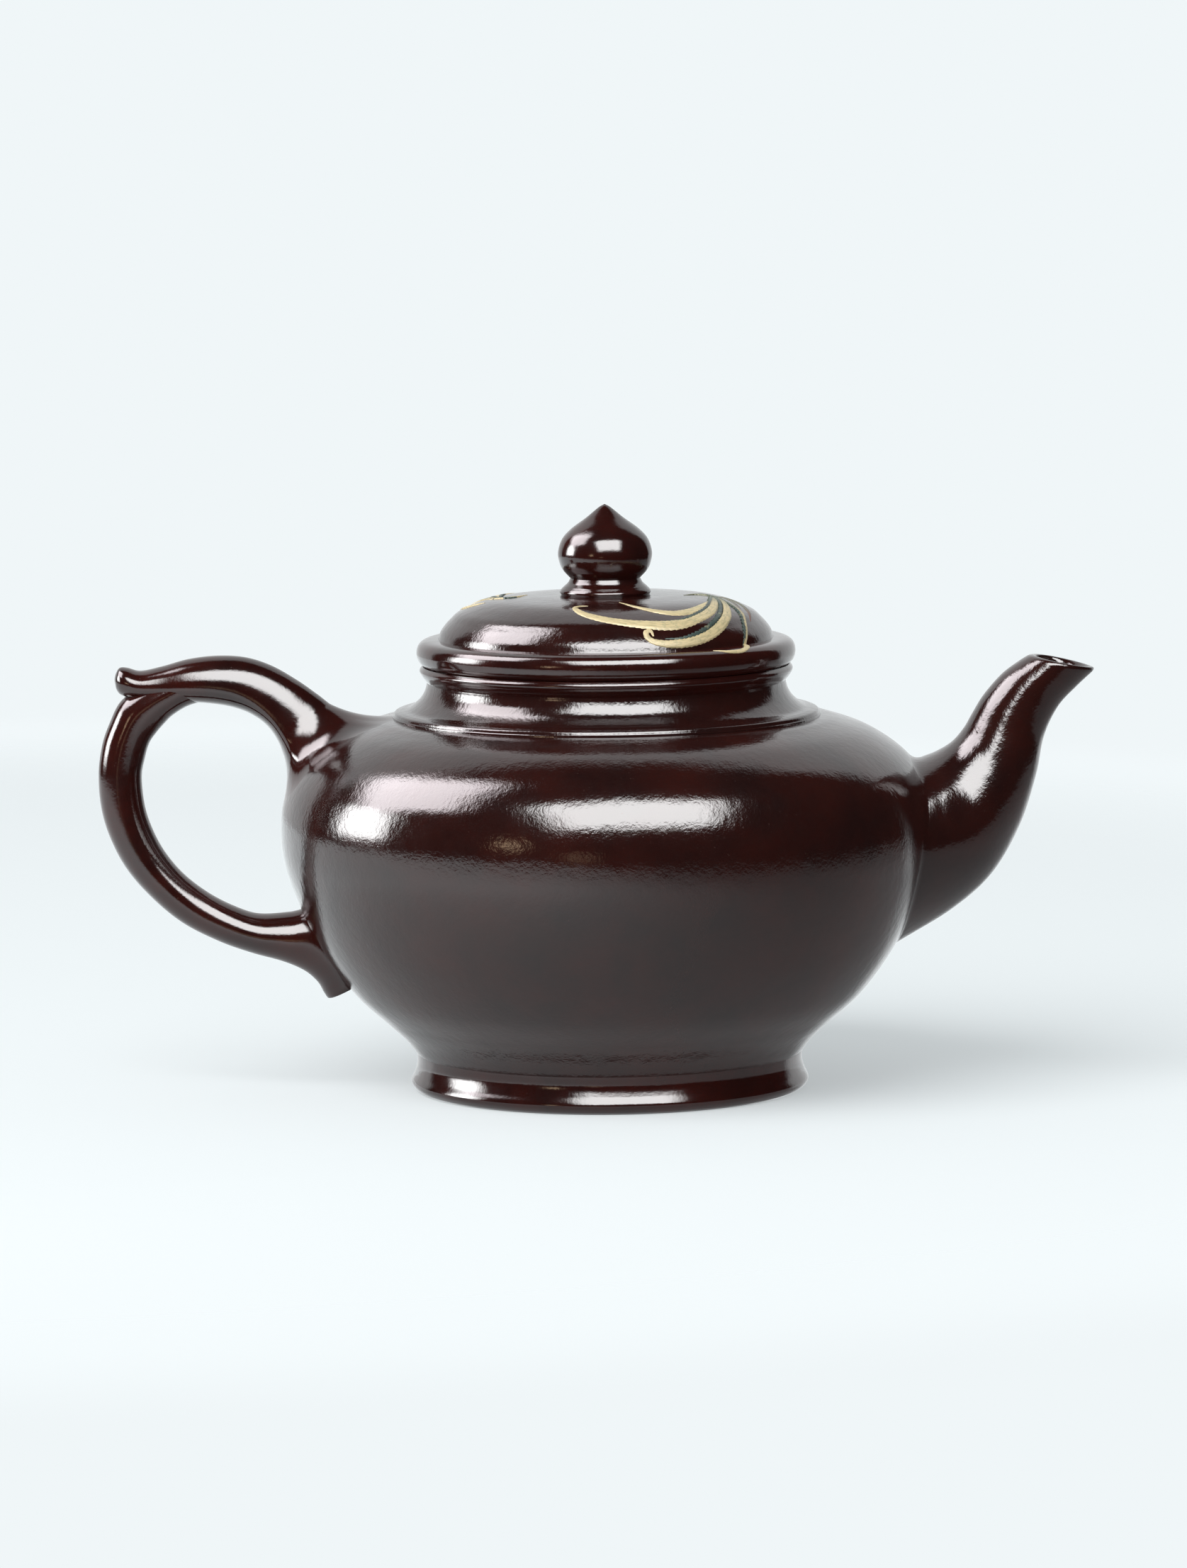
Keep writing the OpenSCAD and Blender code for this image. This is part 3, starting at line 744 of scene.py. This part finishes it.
# In the twin at the back the russet strokes lie further round, and cream ones take their place
CREAM_TWIN = CREAM_STROKES + [
    [(19.4, 2.6, 0.15), (21.4, 0.8, 0.5), (22.9, -2.2, 0.5), (23.8, -6, 0.15)],
]
RUSSET_TWIN = [
    [(19.6, -8.6, 0.12), (20.8, -10.6, 0.4), (21, -13.4, 0.4), (20.2, -16, 0.12)],
    [(22.4, -8.2, 0.12), (23.4, -10.6, 0.4), (23.4, -13.4, 0.4), (22.4, -16, 0.12)],
]


def lid_skin():
    """The lid's outside from the middle outwards: lengths along it, radii and heights."""
    path = np.vstack([[(0, dome_top)], dome_outline[::-1], flange_outline[-2:0:-1]])
    length = np.concatenate([[0], np.cumsum(np.linalg.norm(np.diff(path, axis=0), axis=1))])
    return length, path[:, 0], path[:, 1]


LID_SKIN = lid_skin()


def on_lid(flat, raised):
    """Points of the rolled-out skin put back on the lid and raised along its normal."""
    length, radii, heights = LID_SKIN
    reach = np.hypot(flat[:, 0], flat[:, 1])
    around = flat / reach[:, None]
    r = np.interp(reach, length, radii)
    z = np.interp(reach, length, heights)
    step = 0.3
    dr = np.interp(reach + step, length, radii) - np.interp(reach - step, length, radii)
    dz = np.interp(reach + step, length, heights) - np.interp(reach - step, length, heights)
    size = np.hypot(dr, dz)
    r = r - raised * dz / size
    return np.column_stack([around * r[:, None], z + raised * dr / size])


def stroke_skin(plan, height, barbs):
    """Rings across one raised brush stroke, and the place of each point along and across it.

    barbs is how far the stroke's edges are frayed, as the side of a feather is.
    """
    path = curve(plan, 26)
    step = np.gradient(path[:, :2], axis=0)
    size = np.linalg.norm(step, axis=1)
    side = np.column_stack([-step[:, 1], step[:, 0]]) / size[:, None]
    along = np.cumsum(size)
    across = np.linspace(-1, 1, 11)
    barb_length = 0.9
    rings, places = [], []
    for (x, y, half), s, distance in zip(path, side, along):
        fray = 1 - barbs * ((distance / barb_length) % 1) * min(1, half / 0.4)
        flat = np.array([x, y]) + half * fray * across[:, None] * s
        raised = height * min(1, half / 0.45) * np.sqrt(1 - across ** 4) - 0.02
        top = on_lid(flat, raised)
        base = on_lid(flat[[-1, 0]], np.full(2, -0.25))
        rings.append(np.vstack([top, base]))
        sideways = [*(half * across), half, -half]
        places.append(np.column_stack([np.full(len(sideways), distance), sideways]))
    return np.array(rings), np.array(places)


def make_painting(name, node, front, twin, height, barbs, material):
    """All strokes of one colour: a spray at the front right and its twin at the back left."""
    points, faces, places = [], [], []
    for half_turn, plans in ((1, front), (-1, twin)):
        for plan in plans:
            rings, place = stroke_skin(plan, height, barbs)
            mesh = skin(rings * (half_turn, half_turn, 1))
            start = len(points)
            points += [tuple(v.co) for v in mesh.vertices]
            faces += [tuple(start + v for v in face.vertices) for face in mesh.polygons]
            places += place.reshape(-1, 2).tolist()
    mesh = bpy.data.meshes.new(name)
    mesh.from_pydata(points, [], faces)
    brush = mesh.uv_layers.new(name="brush")
    for loop in mesh.loops:
        brush.data[loop.index].uv = places[loop.vertex_index]
    finished(name, mesh, "lid", [node], material)


# ---- Camera, floor and light --------------------------------------------------------

def make_camera():
    """Long lens a little above the pot, looking at the side with the spout to the right."""
    distance, height = 1.37, 0.203
    pitch, roll = math.radians(6.45), math.radians(0.55)
    data = bpy.data.cameras.new("camera")
    data.lens = 195.8
    data.sensor_width = 36
    camera = bpy.data.objects.new("camera", data)
    bpy.context.scene.collection.objects.link(camera)
    camera.matrix_world = (Matrix.Translation((-0.0022, -distance * math.cos(pitch), height))
                           @ Matrix.Rotation(math.pi / 2 - pitch, 4, "X") @ Matrix.Rotation(-roll, 4, "Z"))
    bpy.context.scene.camera = camera


PALE = (0.871, 0.922, 0.939)


def make_floor():
    """Pale round floor that fades out into the pale surroundings at its edge.

    Its edge is soft to the eye, but it is a clear line when the pot mirrors it. Mirrored, the floor
    is darker far out and carries painted shade: a painted contact shadow close to the pot and painted
    shade on the right.
    """
    floor_r = 0.45
    bm = bmesh.new()
    bmesh.ops.create_circle(bm, cap_ends=True, segments=128, radius=floor_r)
    mesh = bpy.data.meshes.new("floor")
    bm.to_mesh(mesh)
    bm.free()
    floor = bpy.data.objects.new("floor", mesh)
    bpy.context.scene.collection.objects.link(floor)
    floor.location = (-0.15, 0.15, 0)
    m = Surface("floor_paper")
    m.shader.inputs["Base Color"].default_value = (0.50, 0.525, 0.532, 1)
    m.shader.inputs["Roughness"].default_value = 0.7
    m.shader.inputs["Specular IOR Level"].default_value = 0
    m.shader.inputs["Emission Color"].default_value = (*PALE, 1)
    in_mirror = m.add("ShaderNodeLightPath").outputs["Is Glossy Ray"]
    m.join(m.smooth(in_mirror, 0, 1, 0.47, 0.92), m.shader.inputs["Emission Strength"])
    length = m.add("ShaderNodeVectorMath", operation="LENGTH")
    m.join(m.place, length.inputs[0])
    out = length.outputs["Value"]
    to_pot = m.add("ShaderNodeVectorMath", operation="DISTANCE")
    to_pot.inputs[1].default_value = tuple(-c for c in floor.location)
    m.join(m.place, to_pot.inputs[0])
    # Painted contact shadow: the mirrored floor is dimmed close to the pot.
    near = m.smooth(to_pot.outputs["Value"], 0.15, 0.04, 1, 0.55)
    edge = m.smooth(out, 0.425, floor_r, 1, 0)
    far = m.smooth(out, 0.26, 0.42, 1, 0.6)
    # Painted shade: the mirrored floor is dimmed on the right, where the pot's shadow falls.
    right = m.smooth(m.split(m.place)["X"], 0.08, 0.27, 1, 0.3)
    mirrored = m.math("MULTIPLY", m.math("MULTIPLY", near, m.math("MULTIPLY", edge, far)), right)
    seen = m.smooth(out, 0.26, floor_r, 1, 0)
    m.join(m.mix(in_mirror, seen, mirrored), m.shader.inputs["Alpha"])
    mesh.materials.append(m.material)


def make_world():
    """Pale room to the eye and for soft light; mirrored, it is a pale backdrop behind, dark in front."""
    world = bpy.data.worlds.new("studio")
    bpy.context.scene.world = world
    world.use_nodes = True
    m = Nodes(world.node_tree)
    x, y, z = m.split(m.add("ShaderNodeTexCoord").outputs["Generated"])
    depth = m.math("MAXIMUM", y, 0.001)
    aside = m.math("ABSOLUTE", m.math("DIVIDE", x, depth))
    up = m.math("DIVIDE", z, depth)
    height = m.math("MULTIPLY", m.smooth(up, -0.5, -0.2), m.smooth(up, 2.5, 1.6))
    backdrop = m.math("MULTIPLY", m.smooth(aside, 1.25, 0.95), height)
    mirrored = m.mix(backdrop, (0.012, 0.010, 0.010), (0.90, 0.93, 0.94))
    rays = m.add("ShaderNodeLightPath").outputs
    lighting = m.mix(rays["Is Diffuse Ray"], PALE, tuple(0.38 * c for c in PALE))
    seen = m.mix(rays["Is Glossy Ray"], lighting, mirrored)
    m.join(seen, world.node_tree.nodes["Background"].inputs["Color"])


def soft_edges(data, soft):
    """Fades an area light out towards its edges, over the fraction soft of its size."""
    data.use_nodes = True
    m = Nodes(data.node_tree)
    across, along, _ = m.split(m.add("ShaderNodeNewGeometry").outputs["Parametric"])
    fades = [m.smooth(m.math("ABSOLUTE", m.math("SUBTRACT", place, 0.5)), 0.5, 0.5 - soft)
             for place in (across, along)]
    m.join(m.math("MULTIPLY", *fades), data.node_tree.nodes["Emission"].inputs["Strength"])


def softbox(name, azimuth, elevation, wide, tall, radiance, colour=(1, 1, 1), turn=0, soft=0.2,
            distance=1.0, mirror_only=True):
    """Area light facing the pot. Azimuth 0 is the camera's side, positive to the right."""
    aim = Vector((0, 0, 0.045))
    az, el = math.radians(azimuth), math.radians(elevation)
    away = Vector((math.sin(az) * math.cos(el), -math.cos(az) * math.cos(el), math.sin(el)))
    data = bpy.data.lights.new(name, "AREA")
    data.shape = "RECTANGLE"
    data.size, data.size_y = wide, tall
    data.energy = radiance * math.pi * wide * tall
    data.color = colour
    soft_edges(data, soft)
    light = bpy.data.objects.new(name, data)
    bpy.context.scene.collection.objects.link(light)
    facing = away.to_track_quat("Z", "Y").to_matrix().to_4x4()
    light.matrix_world = (Matrix.Translation(aim + distance * away) @ facing
                          @ Matrix.Rotation(math.radians(turn), 4, "Z"))
    light.visible_camera = False
    light.visible_diffuse = not mirror_only
    light.visible_glossy = mirror_only


def make_lights():
    softbox("box_front", 11, 46, 1.25, 0.85, 13.5)
    softbox("window_left", -97, 45, 0.85, 0.85, 11, (1.0, 0.93, 0.96), turn=45, soft=0.22)
    softbox("box_left", -96, 13, 0.6, 0.55, 18, soft=0.35)
    softbox("lamp_warm", -34, 9, 0.22, 0.26, 4.5, (1.0, 0.72, 0.46), soft=0.5)
    softbox("lamp_low", -10, -2, 0.26, 0.20, 1.0, (1.0, 0.72, 0.46), soft=0.5)
    softbox("soft_front", -35, 42, 2.4, 2.0, 4.8, distance=2.0, mirror_only=False)


make_foot()
make_bottom()
make_bowl()
make_shoulder()
make_neck()
make_rim()
make_skirt()
make_flange()
make_dome()
make_knob_collar()
make_knob()
make_spout()
make_handle()
make_painting("plumes_cream_slip", "plumes_cream", CREAM_STROKES, CREAM_TWIN, slip_h, 0.14, CREAM)
make_painting("plumes_green_slip", "plumes_green", GREEN_STROKES, GREEN_STROKES, 1.15 * slip_h, 0.7,
              GREEN)
make_painting("plumes_russet_slip", "plumes_russet", RUSSET_STROKES, RUSSET_TWIN, 0.7 * slip_h, 0.3, RUSSET)
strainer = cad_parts["strainer"]
strainer.data.materials.clear()
strainer.data.materials.append(INSIDE)
make_camera()
make_floor()
make_world()
make_lights()
bpy.context.scene.view_settings.view_transform = "Standard"
